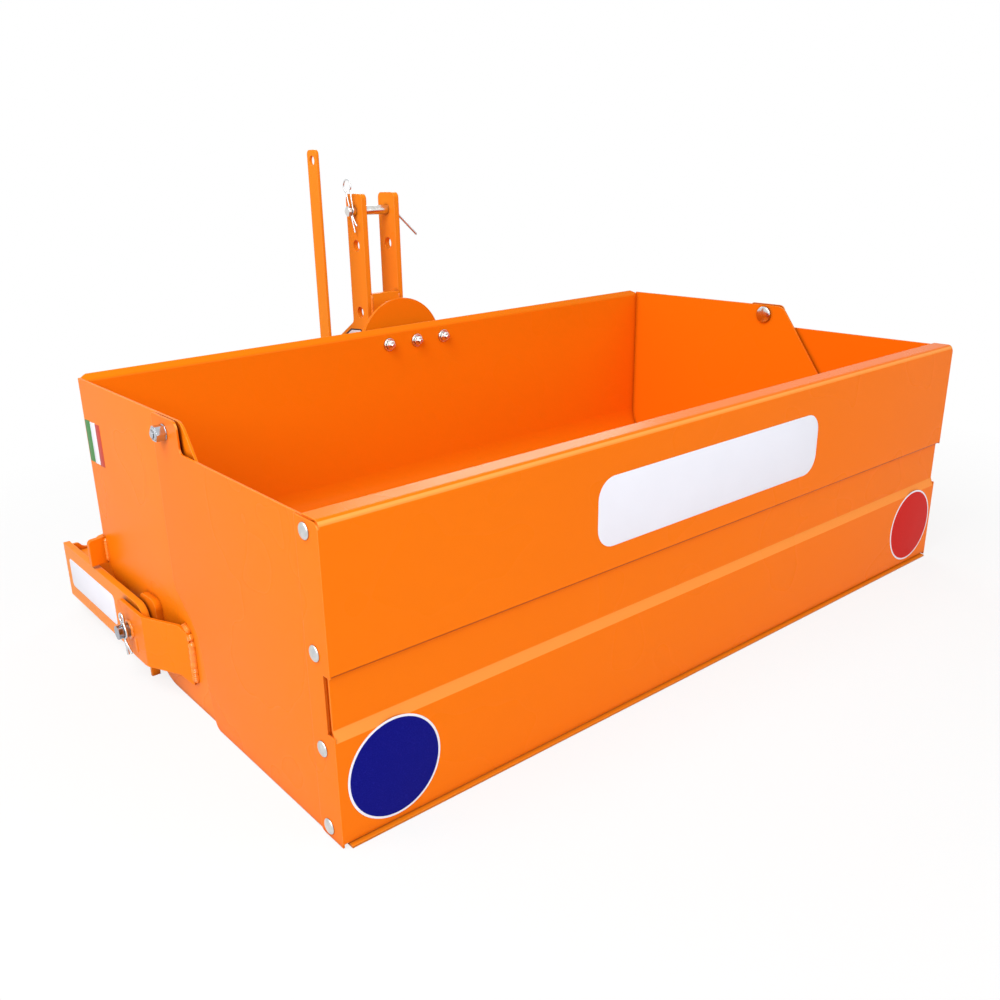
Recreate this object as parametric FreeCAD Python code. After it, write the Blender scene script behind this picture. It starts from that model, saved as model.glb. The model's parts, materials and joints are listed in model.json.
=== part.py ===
"""Tractor transport box: a tipping box on a three-point hitch frame.

Frame: millimetres, +X to the right when looking forward, +Y forward (to the tractor), +Z up.
The origin is on the ground, at the middle of the box's width and depth.
"""
import FreeCAD
import Part
import math
import os

V = FreeCAD.Vector
X_AXIS = V(1, 0, 0)
Y_AXIS = V(0, 1, 0)

# ---------------------------------------------------------------- driving dimensions
# whole box
BOX_WIDTH = 1800.0          # over the tailgate's end flanges
BOX_DEPTH = 1000.0          # tailgate's outer face to front wall's outer face
SIDE_TOP = 602.0            # top edge of the side plates
GATE_TOP = 550.0            # top of the tailgate's rear panel
GATE_BOTTOM = 8.0           # lower edge of the rear panel
OVERRUN = 1.0               # how far a cutting tool goes past the face it cuts

# sheet and plate
TUB_SHEET = 3.0             # floor and front wall
SIDE_SHEET = 5.0            # side plates
WING_SHEET = 4.0            # tailgate's wing plates
PANEL_SHEET = 3.0           # tailgate's rear panel
WING_GAP = 6.0              # between a wing and the side plate it swings over

# floor and front wall
BEND_RADIUS = 100.0         # inside the two bends between floor and front wall
FLOOR_SLOPE = 28.0          # degrees, of the ramp between floor and front wall
RAMP_LENGTH = 310.0         # along Y, from the flat floor's end to the front wall
LIP_LENGTH = 17.0           # of the front wall's bent top edge
LIP_ANGLE = 45.0            # degrees, forward from upright
LIP_BEND = 6.0
LIP_DROP = 9.0              # the lip's bend starts this far below the side plates' top
LIP_CHAMFER = 40.0          # cut off each end of the lip
BLADE_THICKNESS = 6.0
BLADE_WIDTH = 70.0
BLADE_PROUD = 7.0           # the blade stands this far behind the tailgate
BLADE_BEVEL_WIDTH = 14.0
BLADE_BEVEL_DROP = 2.0

# side plate
SIDE_REAR_FOOT = 30.0       # from the tailgate's outer face to the sloping edge, at the floor
SIDE_HEAD_BACK = 56.0       # top end of that edge, behind the hinge
SIDE_HEAD_ROUND = 36.0

# tailgate
GATE_HINGE_SETBACK = 475.0  # behind the front wall
GATE_HINGE_DROP = 26.0      # below the side plates' top
HINGE_BOLT_DIAMETER = 18.0
HINGE_HEAD = 44.0
HINGE_HEAD_HEIGHT = 4.5
HINGE_HEAD_GAP = 0.5
HINGE_NUT = 27.0            # across flats
HINGE_NUT_HEIGHT = 19.0
WING_FRONT = 52.0           # forward of the hinge
WING_RISE = 2.0             # the wing's head above the side plates' top
WING_HEAD_ROUND = 8.0
WING_STEP_FRONT = 56.0      # behind the hinge, top of the step in the top edge
WING_STEP_REAR = 58.0       # bottom of that step
WING_STEP_ROUND = 12.0
WING_SHOULDER_ROUND = 18.0
WING_SETBACK = 19.0         # its rear edge, forward of the rear panel
WING_BOTTOM = 2.0           # lower edge of the wings and of the panel's end flanges
WING_EDGE_DROP = 3.0        # its rear top edge below the tailgate's top
WING_HEEL = 70.0            # behind the hinge, where its bottom edge ends
WING_HEEL_ROUND = 20.0
WING_SLOPE_BACK = 33.0      # behind the hinge, corner of the sloping front edge
WING_SLOPE_Z = 190.0
WING_SLOPE_ROUND = 30.0
WING_KNEE_Z = 262.0         # where the slope meets the upright front edge
WING_KNEE_ROUND = 40.0
GATE_LIP = 46.0             # folded forward at the top of the rear panel
GATE_FOLD = 12.0            # outside radius of that fold
FLANGE_WIDTH = 65.0         # end flanges of the rear panel
FLANGE_ROUND = 12.0
FLANGE_NOTCH = 4.0          # step of the flange under the top lip
FLANGE_CUT_TOP = 302.0      # the flange is cut back to the wing's edge beside the swage
FLANGE_CUT_BOTTOM = 200.0
SWAGE_TOP = 300.0
SWAGE_BOTTOM = 210.0
SWAGE_BEVEL = 19.0          # height of the bevel under the swage
SWAGE_DEPTH = 8.0
SWAGE_ROUND = 4.0

# tipping pivot
PIVOT_SETBACK = 235.0       # behind the front wall
PIVOT_Z = 110.0
PIN_DIAMETER = 30.0
RUNNING_CLEARANCE = 0.05    # radial, pin in arm and bolt in side plate
PIN_PROUD = 28.0            # the pin's end past the cheek
CHEEK_SHEET = 8.0
CHEEK_GAP = 5.5             # arm's outer face to the cheek
CHEEK_BEND = 12.0           # radius of the bend in to the side plate
CHEEK_FRONT = 65.0          # forward of the pivot
CHEEK_NOSE_LOW = 35.0       # lower corner of the nose, under the pivot
CHEEK_TOE = 20.0            # where the level lower edge starts, forward of the pivot
CHEEK_KEEL = 60.0           # where it ends, behind the pivot
CHEEK_LENGTH = 224.0        # pivot to the welded end
CHEEK_TOP = 55.0            # over the pivot
CHEEK_LOW = 59.0            # under the pivot
CHEEK_NOSE_ROUND = 30.0
CHEEK_SHOULDER_ROUND = 20.0
CHEEK_EAR_Y = 190.0         # raised welded ear: its top corner, behind the pivot
CHEEK_EAR_TOP = 67.0        # over the pivot
CHEEK_EAR_FALL = 17.0       # its top falls this far to the rear
CHEEK_HEEL_Y = 212.0        # lowest corner of the ear
CHEEK_HEEL_LOW = 55.0
CHEEK_ARCH_Y = 180.0        # the lower edge is highest here
CHEEK_ARCH_LOW = 44.0
BOSS_GAP = 5.0              # boss to the arm's inner face
BOSS_REAR = 75.0            # behind the pivot
BOSS_HEEL = 60.0
BOSS_FRONT = 50.0
BOSS_LOW = 50.0             # under the pivot
BOSS_TOP = 74.0             # over the pivot, straight above it
BOSS_REAR_TOP = 78.0
BOSS_REAR_BOTTOM = 30.0     # over the pivot
BOSS_ROUND = 20.0

# rest lug
LUG_THICKNESS = 12.0
LUG_CLEARANCE = 7.0         # over the arm it comes down on
LUG_OVERHANG = 5.0          # past the arm's outer face
LUG_HEIGHT = 60.0           # at its outer corner
LUG_INNER_HEIGHT = 63.0
LUG_ROUND = 10.0

# hitch frame
ARM_THICKNESS = 15.0
ARM_GAP = 6.0               # arm's inner face to the tailgate's end flange
ARM_BOTTOM = 36.0
ARM_HEIGHT = 136.0
ARM_REACH = 210.0           # forward of the front wall
ARM_HEEL = 55.0             # behind the pivot
ARM_ROUND = 40.0
FOOT_SETBACK = 27.0         # behind the pivot
FOOT_THICKNESS = 8.0
FOOT_INSET = 10.0           # from the arm's outer face, to clear the cheek as the box tips
FOOT_TOE_REACH = 13.0       # its toe, past the arm's inner face
FOOT_TOE_HEIGHT = 10.0
FOOT_TOE_TOP = 24.0         # where the toe meets the leg
CROSS_PLATE = 8.0
SCALLOP_WIDTH = 110.0       # hollow in the cross plate's top edge beside each arm
SCALLOP_DEPTH = 30.0
SCALLOP_LOW = 34.0          # its lowest point, from the arm
SCALLOP_HIGH = 70.0         # where it has risen again
SCALLOP_TAB = 20.0          # narrow tab left beside the arm
SCALLOP_TAB_DROP = 8.0
SCALLOP_ROUND = 20.0
BEAM_SIZE = 100.0
BEAM_WALL = 6.0
BEAM_BOTTOM = 46.0
MAST_THICKNESS = 15.0
MAST_GAP = 88.0             # between the two uprights
MAST_WIDTH = 75.0
MAST_CLEARANCE = 118.0      # front wall to the uprights
MAST_TOP = 939.0
MAST_ROUND = 14.0
MAST_HOLES = (896.0, 807.0, 631.0)
MAST_HOLE_DIAMETER = 30.0
MAST_SHOULDER = 602.0       # where the uprights start to widen forward
MAST_SHOULDER_DROP = 66.0   # height of that sloping edge
MAST_FOOT_DEPTH = 90.0      # of the widened foot, forward of the cross plate
MAST_FOOT_HEIGHT = 330.0       # where its front edge turns down to the toe
MAST_TOE = 34.0             # of the toe, forward of the cross plate
MAST_FOOT_ROUND = 30.0
BLOCK_REACH = 3.0           # the tie block's rear face behind the uprights
BLOCK_OVERLAP = 16.0        # how far it reaches between them
BLOCK_BOTTOM = 605.0
BLOCK_HEIGHT = 77.0
TOP_PIN_DIAMETER = 25.4
TOP_PIN_LEFT = 21.0         # past the left upright
TOP_PIN_RIGHT = 14.0
HITCH_HOLE_DIAMETER = 29.0  # for a 28 mm category 2 pin
HITCH_WIDTH = 825.0        # between the middles of the two pairs of ears
HITCH_REACH = 85.0          # the hitch holes, forward of the cross plate
HITCH_Z = 208.0
EAR_THICKNESS = 12.0
EAR_GAP = 70.0
EAR_REACH = 38.0            # of the ear's square head round the hole
EAR_ROUND = 34.0
EAR_FOOT = 13.0             # the ear's foot over the arm's lower edge
EAR_TOE = 30.0
EAR_TOE_ROUND = 20.0

# latch
SHAFT_DIAMETER = 25.0
SHAFT_Z = 420.0
SHAFT_PROUD = 12.0          # past the right upright
LEVER_X = -173.0            # middle of the lever's thickness
LEVER_THICKNESS = 8.0
LEVER_WIDTH = 44.0
LEVER_TOP = 1050.0
LEVER_ROUND = 12.0
LEVER_TAIL = 24.0           # below the shaft
LEVER_TAIL_ROUND = 14.0
LEVER_HOLE = 24.0
LEVER_HOLE_DROP = 26.0
HOOK_THICKNESS = 20.0
HOOK_LIFT = 18.0            # degrees, from closed over the striker to the released rest place
HOOK_SEAT_CLEARANCE = 4.0
HOOK_SEAT_ROUND = 5.0
HOOK_BOSS = 11.0            # wall round the shaft
HOOK_CLAW = 15.0            # width of the claw behind its seat
HOOK_BACK = 36.0            # height of the back over the striker
HOOK_BACK_ROUND = 16.0
HOOK_TIP_DROP = 5.0         # the claw's tip below the striker's middle
HOOK_TIP_BEVEL = 13.0
HOOK_BELLY = 20.0           # the arm's belly, behind the boss
HOOK_BELLY_DROP = 9.0
STRIKER_DIAMETER = 20.0
STRIKER_STANDOFF = 48.0     # forward of the front wall
STRIKER_Z = 410.0
STRIKER_SPREAD = 22.0       # middle of the machine to each ear's inner face
STRIKER_EAR = 10.0
STRIKER_EAR_WALL = 8.0      # round the bar
STRIKER_EAR_DOWN = 45.0     # the ear's root on the wall, below and above the bar
STRIKER_EAR_UP = 26.0

# catch plate
DOME_RADIUS = 131.0
DOME_TOP = 672.0
DOME_BOTTOM = 530.0
DOME_SHEET = 8.0
DOME_STANDOFF = 50.0
DOME_BOLT_SPACING = 90.0
DOME_BOLT_X = 12.0          # middle one of the three bolts
DOME_BOLT_Z = 564.0
DOME_SPACER = 28.0          # hexagon spacers, across flats

# ---------------------------------------------------------------- derived places
REAR = -BOX_DEPTH / 2
FRONT = BOX_DEPTH / 2
HALF = BOX_WIDTH / 2
RAMP_START = FRONT - RAMP_LENGTH
BLADE_REAR = REAR - BLADE_PROUD
BLADE_FRONT = BLADE_REAR + BLADE_WIDTH
WING_OUT = HALF - PANEL_SHEET
WING_IN = WING_OUT - WING_SHEET
SIDE_OUT = WING_IN - WING_GAP
SIDE_IN = SIDE_OUT - SIDE_SHEET
HINGE_Y = FRONT - GATE_HINGE_SETBACK
HINGE_Z = SIDE_TOP - GATE_HINGE_DROP
PIVOT_Y = FRONT - PIVOT_SETBACK
ARM_IN = HALF + ARM_GAP
ARM_OUT = ARM_IN + ARM_THICKNESS
ARM_TOP = ARM_BOTTOM + ARM_HEIGHT
ARM_FRONT = FRONT + ARM_REACH
ARM_REAR = PIVOT_Y - ARM_HEEL
CHEEK_IN = ARM_OUT + CHEEK_GAP
CHEEK_OUT = CHEEK_IN + CHEEK_SHEET
CHEEK_BEND_Y = ARM_REAR - CHEEK_BEND - 2 * CHEEK_GAP
FOOT_Y = PIVOT_Y - FOOT_SETBACK
BEAM_FRONT = ARM_FRONT - CROSS_PLATE
MAST_REAR = FRONT + MAST_CLEARANCE
MAST_IN = MAST_GAP / 2
MAST_OUT = MAST_IN + MAST_THICKNESS
MAST_CENTRE_Y = MAST_REAR + MAST_WIDTH / 2
MAST_FOOT_FRONT = ARM_FRONT + MAST_FOOT_DEPTH
HITCH_Y = ARM_FRONT + HITCH_REACH
SHAFT_Y = MAST_CENTRE_Y
STRIKER_Y = FRONT + STRIKER_STANDOFF


# ---------------------------------------------------------------- shape helpers
def path(corners, closed=True):
    """Edges through corners (a, b) or (a, b, radius), each rounded by its radius."""
    count = len(corners)
    starts, ends, arcs = [], [], []
    for i, corner in enumerate(corners):
        here = V(corner[0], corner[1], 0)
        radius = corner[2] if len(corner) > 2 else 0.0
        if radius == 0.0 or (not closed and i in (0, count - 1)):
            starts.append(here)
            ends.append(here)
            arcs.append(None)
            continue
        before = V(corners[i - 1][0], corners[i - 1][1], 0).sub(here).normalize()
        nxt = corners[(i + 1) % count]
        after = V(nxt[0], nxt[1], 0).sub(here).normalize()
        half = before.getAngle(after) / 2
        reach = radius / math.tan(half)
        middle = V(before).add(after).normalize()
        middle = here.add(middle.multiply(radius / math.sin(half) - radius))
        starts.append(here.add(V(before).multiply(reach)))
        ends.append(here.add(V(after).multiply(reach)))
        arcs.append(middle)
    edges = []
    for i in range(count):
        if arcs[i] is not None:
            edges.append(Part.Arc(starts[i], arcs[i], ends[i]).toShape())
        if i < count - 1 or closed:
            goal = starts[(i + 1) % count]
            if ends[i].distanceToPoint(goal) > 1e-6:
                edges.append(Part.LineSegment(ends[i], goal).toShape())
    return edges


def face_of(corners):
    return Part.Face(Part.Wire(path(corners)))


def plate_x(corners, x_low, x_high):
    """A plate whose outline is (y, z) corners, between two x."""
    face = face_of(corners)
    face.transformShape(FreeCAD.Matrix(0, 0, 1, x_low, 1, 0, 0, 0, 0, 1, 0, 0, 0, 0, 0, 1))
    return face.extrude(V(x_high - x_low, 0, 0))


def plate_y(corners, y_low, y_high):
    """A plate whose outline is (x, z) corners, between two y."""
    face = face_of(corners)
    face.transformShape(FreeCAD.Matrix(1, 0, 0, 0, 0, 0, 1, y_low, 0, 1, 0, 0, 0, 0, 0, 1))
    return face.extrude(V(0, y_high - y_low, 0))


def plate_z(corners, z_low, z_high):
    """A plate whose outline is (x, y) corners, between two z."""
    face = face_of(corners)
    face.translate(V(0, 0, z_low))
    return face.extrude(V(0, 0, z_high - z_low))


def box(x_low, x_high, y_low, y_high, z_low, z_high):
    return Part.makeBox(x_high - x_low, y_high - y_low, z_high - z_low, V(x_low, y_low, z_low))


def rod_x(radius, x_low, x_high, y, z):
    return Part.makeCylinder(radius, x_high - x_low, V(x_low, y, z), X_AXIS)


def rod_y(radius, y_low, y_high, x, z):
    return Part.makeCylinder(radius, y_high - y_low, V(x, y_low, z), Y_AXIS)


def hexagon(across_flats, a, b):
    """Corners of a hexagon about (a, b)."""
    reach = across_flats / math.sqrt(3)
    turns = [math.radians(60 * corner) for corner in range(6)]
    return [(a + reach * math.cos(turn), b + reach * math.sin(turn)) for turn in turns]


def mirrored(shape):
    """The same piece on the other side of the machine."""
    copy = shape.mirror(V(0, 0, 0), X_AXIS)
    return copy


def offset_sheet(line, thickness):
    """A sheet of even thickness to the left of an open line of (a, b, radius) corners."""
    far = []
    count = len(line)
    for i, corner in enumerate(line):
        here = V(corner[0], corner[1], 0)
        turns = []
        if i > 0:
            turns.append(here.sub(V(line[i - 1][0], line[i - 1][1], 0)).normalize())
        if i < count - 1:
            turns.append(V(line[i + 1][0], line[i + 1][1], 0).sub(here).normalize())
        normals = [V(-t.y, t.x, 0) for t in turns]
        if len(normals) == 1:
            point = here.add(normals[0].multiply(thickness))
            far.append((point.x, point.y))
            continue
        middle = V(normals[0]).add(normals[1]).normalize()
        point = here.add(V(middle).multiply(thickness / middle.dot(normals[0])))
        radius = corner[2] if len(corner) > 2 else 0.0
        if radius > 0.0:
            bends_left = turns[0].x * turns[1].y - turns[0].y * turns[1].x > 0
            radius = radius - thickness if bends_left else radius + thickness
        far.append((point.x, point.y, max(radius, 0.0)))
    return [tuple(c) for c in line] + far[::-1]


NODES = {}


def keep(name, shape):
    NODES[name] = shape


# ---------------------------------------------------------------- the box
def knee_height():
    """Height at which the ramp's line meets the front wall."""
    return RAMP_LENGTH * math.tan(math.radians(FLOOR_SLOPE))


def tub():
    """Floor, ramp and front wall: one sheet bent twice, with a lip along its top."""
    lip = math.radians(LIP_ANGLE)
    wall_top = SIDE_TOP - LIP_DROP
    line = [
        (BLADE_FRONT, 0.0),
        (RAMP_START, 0.0, BEND_RADIUS + TUB_SHEET),
        (FRONT, knee_height(), BEND_RADIUS + TUB_SHEET),
        (FRONT, wall_top, LIP_BEND),
        (FRONT + LIP_LENGTH * math.sin(lip), wall_top + LIP_LENGTH * math.cos(lip)),
    ]
    sheet = plate_x(offset_sheet(line, TUB_SHEET), -SIDE_IN, SIDE_IN)
    low, high = wall_top + LIP_BEND, SIDE_TOP + LIP_LENGTH
    for sign in (-1, 1):
        wedge = plate_y([
            (sign * SIDE_IN, low),
            (sign * (SIDE_IN - LIP_CHAMFER), high),
            (sign * (SIDE_IN + OVERRUN), high),
            (sign * (SIDE_IN + OVERRUN), low),
        ], FRONT - TUB_SHEET - OVERRUN, FRONT + LIP_LENGTH + OVERRUN)
        sheet = sheet.cut(wedge)
    return sheet


def blade():
    """Thick cutting edge across the rear of the floor, bevelled towards the ground."""
    corners = [(BLADE_REAR, 0.0), (BLADE_FRONT, 0.0), (BLADE_FRONT, BLADE_THICKNESS),
               (BLADE_REAR + BLADE_BEVEL_WIDTH, BLADE_THICKNESS),
               (BLADE_REAR, BLADE_THICKNESS - BLADE_BEVEL_DROP)]
    return plate_x(corners, -SIDE_OUT, SIDE_OUT)


def side_plate():
    """Side wall: follows the floor and ramp below, and its rear edge slopes forward."""
    outer = BEND_RADIUS + TUB_SHEET
    corners = [
        (REAR + SIDE_REAR_FOOT, BLADE_THICKNESS),
        (BLADE_FRONT, BLADE_THICKNESS),
        (BLADE_FRONT, 0.0),
        (RAMP_START, 0.0, outer),
        (FRONT, knee_height(), outer),
        (FRONT, SIDE_TOP),
        (HINGE_Y - SIDE_HEAD_BACK, SIDE_TOP, SIDE_HEAD_ROUND),
    ]
    side = plate_x(corners, SIDE_IN, SIDE_OUT)
    bore = HINGE_BOLT_DIAMETER / 2 + RUNNING_CLEARANCE
    return side.cut(rod_x(bore, SIDE_IN - OVERRUN, SIDE_OUT + OVERRUN, HINGE_Y, HINGE_Z))


def lug():
    """Plate across the front corner that comes down on the arm."""
    low = ARM_TOP + LUG_CLEARANCE
    corners = [(SIDE_OUT, low), (ARM_OUT + LUG_OVERHANG, low),
               (ARM_OUT + LUG_OVERHANG, low + LUG_HEIGHT, LUG_ROUND), (SIDE_OUT, low + LUG_INNER_HEIGHT)]
    return plate_y(corners, FRONT - LUG_THICKNESS, FRONT)


def cheek():
    """Outer cheek: flat beside the arm, then bent in to the side plate and welded there."""
    rear = PIVOT_Y - CHEEK_LENGTH
    weld_y = rear + CHEEK_SHEET
    line = [(PIVOT_Y + CHEEK_FRONT + OVERRUN, CHEEK_IN), (CHEEK_BEND_Y, CHEEK_IN, CHEEK_BEND),
            (weld_y, SIDE_OUT)]
    outline = [(corner[1], corner[0]) + tuple(corner[2:]) for corner in offset_sheet(line, -CHEEK_SHEET)]
    strap = plate_z(outline, 0.0, PIVOT_Z + CHEEK_EAR_TOP + OVERRUN)
    side_view = [
        (PIVOT_Y + CHEEK_FRONT, PIVOT_Z + CHEEK_TOP, CHEEK_NOSE_ROUND),
        (CHEEK_BEND_Y, PIVOT_Z + CHEEK_TOP, CHEEK_SHOULDER_ROUND),
        (PIVOT_Y - CHEEK_EAR_Y, PIVOT_Z + CHEEK_EAR_TOP, CHEEK_NOSE_ROUND),
        (rear, PIVOT_Z + CHEEK_EAR_TOP - CHEEK_EAR_FALL, CHEEK_BEND),
        (rear, PIVOT_Z - CHEEK_HEEL_LOW),
        (PIVOT_Y - CHEEK_HEEL_Y, PIVOT_Z - CHEEK_HEEL_LOW, CHEEK_BEND),
        (PIVOT_Y - CHEEK_ARCH_Y, PIVOT_Z - CHEEK_ARCH_LOW, CHEEK_BEND),
        (PIVOT_Y - CHEEK_KEEL, PIVOT_Z - CHEEK_LOW, CHEEK_NOSE_ROUND),
        (PIVOT_Y + CHEEK_TOE, PIVOT_Z - CHEEK_LOW, CHEEK_NOSE_ROUND),
        (PIVOT_Y + CHEEK_FRONT, PIVOT_Z - CHEEK_NOSE_LOW, CHEEK_SHOULDER_ROUND),
    ]
    strap = strap.common(plate_x(side_view, SIDE_OUT, CHEEK_OUT + OVERRUN))
    return strap.cut(rod_x(PIN_DIAMETER / 2, SIDE_OUT, CHEEK_OUT + OVERRUN, PIVOT_Y, PIVOT_Z))


def pivot_boss():
    """Thick pad on the side plate, inside the arm, that carries the pin's inner end."""
    high = ARM_IN - BOSS_GAP
    corners = [(PIVOT_Y - BOSS_REAR, PIVOT_Z + BOSS_REAR_BOTTOM, BOSS_ROUND / 2),
               (PIVOT_Y - BOSS_HEEL, PIVOT_Z - BOSS_LOW, BOSS_ROUND),
               (PIVOT_Y + BOSS_FRONT, PIVOT_Z - BOSS_LOW, BOSS_ROUND),
               (PIVOT_Y + BOSS_FRONT, PIVOT_Z, BOSS_ROUND),
               (PIVOT_Y, PIVOT_Z + BOSS_TOP, BOSS_ROUND),
               (PIVOT_Y - BOSS_REAR, PIVOT_Z + BOSS_REAR_TOP, BOSS_ROUND)]
    pad = plate_x(corners, SIDE_OUT, high)
    return pad.cut(rod_x(PIN_DIAMETER / 2, SIDE_OUT - OVERRUN, high + OVERRUN, PIVOT_Y, PIVOT_Z))


def tip_pin():
    return rod_x(PIN_DIAMETER / 2, SIDE_OUT, CHEEK_OUT + PIN_PROUD, PIVOT_Y, PIVOT_Z)


def catch_plate():
    """Round-topped plate that stands off the front wall on three hexagon spacers."""
    centre_z = DOME_TOP - DOME_RADIUS
    low = FRONT + DOME_STANDOFF
    high = low + DOME_SHEET
    dome = rod_y(DOME_RADIUS, low, high, 0.0, centre_z)
    dome = dome.common(box(-DOME_RADIUS, DOME_RADIUS, low, high, DOME_BOTTOM, DOME_TOP + OVERRUN))
    for place in (-1, 0, 1):
        bolt_x = DOME_BOLT_X + place * DOME_BOLT_SPACING
        dome = dome.fuse(plate_y(hexagon(DOME_SPACER, bolt_x, DOME_BOLT_Z), FRONT, low))
    return dome.removeSplitter()


def striker():
    """Two ears on the front wall with the round bar that the latch hook drops over."""
    out = STRIKER_SPREAD + STRIKER_EAR
    nose = STRIKER_DIAMETER / 2 + STRIKER_EAR_WALL
    corners = [(FRONT, STRIKER_Z - STRIKER_EAR_DOWN), (STRIKER_Y + nose, STRIKER_Z - nose, nose - OVERRUN),
               (STRIKER_Y + nose, STRIKER_Z + nose, nose - OVERRUN), (FRONT, STRIKER_Z + STRIKER_EAR_UP)]
    bracket = rod_x(STRIKER_DIAMETER / 2, -out, out, STRIKER_Y, STRIKER_Z)
    for low in (-out, STRIKER_SPREAD):
        bracket = bracket.fuse(plate_x(corners, low, low + STRIKER_EAR))
    return bracket.removeSplitter()


# ---------------------------------------------------------------- the tailgate
def rear_panel():
    """Sheet with one pressed swage, folded over at the top, with a flange at each end."""
    swage_low = SWAGE_BOTTOM - SWAGE_BEVEL
    swage_high = SWAGE_TOP + SWAGE_ROUND
    line = [
        (REAR, GATE_BOTTOM),
        (REAR, swage_low, SWAGE_ROUND),
        (REAR + SWAGE_DEPTH, SWAGE_BOTTOM, SWAGE_ROUND),
        (REAR + SWAGE_DEPTH, SWAGE_TOP, SWAGE_ROUND),
        (REAR, swage_high, SWAGE_ROUND),
        (REAR, GATE_TOP, GATE_FOLD),
        (REAR + GATE_LIP, GATE_TOP),
    ]
    sheet = plate_x(offset_sheet(line, -PANEL_SHEET), -WING_OUT, WING_OUT)
    flange_y = REAR + FLANGE_WIDTH
    flange_top = GATE_TOP - FLANGE_NOTCH
    edge_y = REAR + WING_SETBACK
    outline = [
        (REAR, WING_BOTTOM), (flange_y, WING_BOTTOM, FLANGE_ROUND), (flange_y, flange_top),
        (REAR, flange_top, GATE_FOLD),
        (REAR, FLANGE_CUT_TOP), (edge_y, FLANGE_CUT_TOP), (edge_y, FLANGE_CUT_BOTTOM), (REAR, FLANGE_CUT_BOTTOM),
    ]
    flange = plate_x(outline, WING_OUT, HALF)
    return sheet.fuse(flange).fuse(mirrored(flange)).removeSplitter()


def wing():
    """Side of the tailgate: swings over the side plate from a bolt near its front top corner."""
    rear = REAR + WING_SETBACK
    edge = GATE_TOP - WING_EDGE_DROP
    head = SIDE_TOP + WING_RISE
    corners = [
        (rear, WING_BOTTOM),
        (HINGE_Y - WING_HEEL, WING_BOTTOM, WING_HEEL_ROUND),
        (HINGE_Y - WING_SLOPE_BACK, WING_SLOPE_Z, WING_SLOPE_ROUND),
        (HINGE_Y + WING_FRONT, WING_KNEE_Z, WING_KNEE_ROUND),
        (HINGE_Y + WING_FRONT, head, WING_HEAD_ROUND),
        (HINGE_Y - WING_STEP_FRONT, head, WING_SHOULDER_ROUND),
        (HINGE_Y - WING_STEP_REAR, edge, WING_STEP_ROUND),
        (rear, edge),
    ]
    plate = plate_x(corners, WING_IN, WING_OUT)
    return plate.cut(rod_x(HINGE_BOLT_DIAMETER / 2, WING_IN - OVERRUN, WING_OUT + OVERRUN, HINGE_Y, HINGE_Z))


def hinge_bolt():
    """Bolt through wing and side plate: nut outside, round head inside."""
    head_low = SIDE_IN - HINGE_HEAD_GAP - HINGE_HEAD_HEIGHT
    shank = rod_x(HINGE_BOLT_DIAMETER / 2, head_low, WING_OUT, HINGE_Y, HINGE_Z)
    head = rod_x(HINGE_HEAD / 2, head_low, SIDE_IN - HINGE_HEAD_GAP, HINGE_Y, HINGE_Z)
    nut = plate_x(hexagon(HINGE_NUT, HINGE_Y, HINGE_Z), WING_OUT, WING_OUT + HINGE_NUT_HEIGHT)
    return shank.fuse(head).fuse(nut).removeSplitter()


# ---------------------------------------------------------------- the hitch frame
def arm():
    corners = [(ARM_REAR, ARM_BOTTOM, ARM_ROUND), (ARM_FRONT, ARM_BOTTOM),
               (ARM_FRONT, ARM_TOP), (ARM_REAR, ARM_TOP, ARM_ROUND)]
    bar = plate_x(corners, ARM_IN, ARM_OUT)
    bore = PIN_DIAMETER / 2 + RUNNING_CLEARANCE
    return bar.cut(rod_x(bore, ARM_IN - OVERRUN, ARM_OUT + OVERRUN, PIVOT_Y, PIVOT_Z))


def arm_foot():
    """Small foot under the arm, near the pivot, whose toe turns in along the ground."""
    leg = ARM_OUT - FOOT_INSET
    toe = ARM_IN - FOOT_TOE_REACH
    corners = [(ARM_IN, ARM_BOTTOM), (ARM_IN, FOOT_TOE_TOP), (toe, FOOT_TOE_HEIGHT), (toe, 0.0),
               (leg, 0.0), (leg, ARM_BOTTOM)]
    return plate_y(corners, FOOT_Y, FOOT_Y + FOOT_THICKNESS)


def cross_plate():
    """Upright plate between the arms, hollowed out beside each of them."""
    scallop = [
        (ARM_IN, ARM_TOP - SCALLOP_TAB_DROP),
        (ARM_IN - SCALLOP_TAB, ARM_TOP - SCALLOP_TAB_DROP, SCALLOP_ROUND / 2),
        (ARM_IN - SCALLOP_LOW, ARM_TOP - SCALLOP_DEPTH, SCALLOP_ROUND),
        (ARM_IN - SCALLOP_HIGH, ARM_TOP - SCALLOP_TAB_DROP / 2, SCALLOP_ROUND),
        (ARM_IN - SCALLOP_WIDTH, ARM_TOP, SCALLOP_ROUND),
    ]
    corners = [(-ARM_IN, ARM_BOTTOM), (ARM_IN, ARM_BOTTOM)] + scallop
    corners += [(-corner[0],) + corner[1:] for corner in scallop[::-1]]
    return plate_y(corners, BEAM_FRONT, ARM_FRONT)


def cross_beam():
    """Square tube between the arms, behind the cross plate."""
    rear = BEAM_FRONT - BEAM_SIZE
    top = BEAM_BOTTOM + BEAM_SIZE
    outer = box(-ARM_IN, ARM_IN, rear, BEAM_FRONT, BEAM_BOTTOM, top)
    inner = box(-ARM_IN, ARM_IN, rear + BEAM_WALL, BEAM_FRONT - BEAM_WALL,
                BEAM_BOTTOM + BEAM_WALL, top - BEAM_WALL)
    return outer.cut(inner)


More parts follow.
